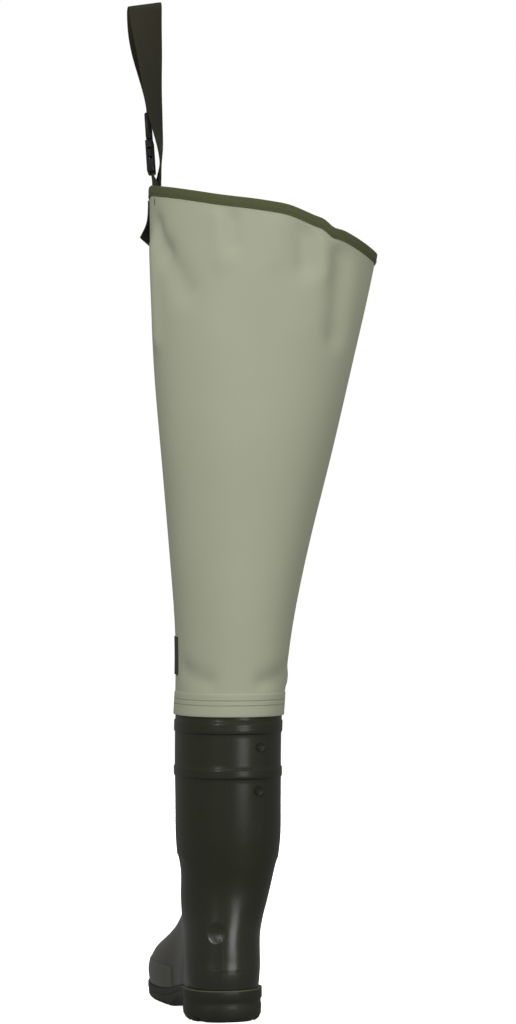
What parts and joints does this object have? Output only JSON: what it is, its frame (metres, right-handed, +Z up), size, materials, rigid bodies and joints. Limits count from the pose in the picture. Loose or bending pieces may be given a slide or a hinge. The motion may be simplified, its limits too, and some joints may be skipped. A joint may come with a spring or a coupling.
{
  "type": "hip wader",
  "caption": "Left hip wader: moulded boot with a lugged sole, a flared coated-fabric leg with a slanted bound collar, and a webbing belt loop closed by a side-release buckle.",
  "frame": {"origin": "on the floor under the middle of the heel, on the heel's tread", "axes": "+Y towards the toe, +X towards the inner side of the left foot, +Z up the leg"},
  "size_m": [0.2866, 0.3259, 1.1478],
  "materials": {
    "sole_pvc": "satin moulded PVC",
    "boot_pvc": "glossy moulded PVC",
    "insole_felt": "felted liner",
    "leg_fabric": "matte coated fabric",
    "binding_tape": "woven binding tape",
    "webbing": "woven webbing",
    "patch_plain": "plain welded patch",
    "buckle_plastic": "moulded plastic"
  },
  "bodies": {
    "root": {"outsole": "sole_pvc", "boot_upper": "boot_pvc", "insole": "insole_felt", "leg": "leg_fabric", "collar_binding": "binding_tape", "side_patch": "patch_plain", "belt_strap": "webbing", "strap_foot": "webbing", "strap_tail": "webbing", "buckle_tongue": "buckle_plastic", "buckle_socket": "buckle_plastic"}
  },
  "joints": []
}
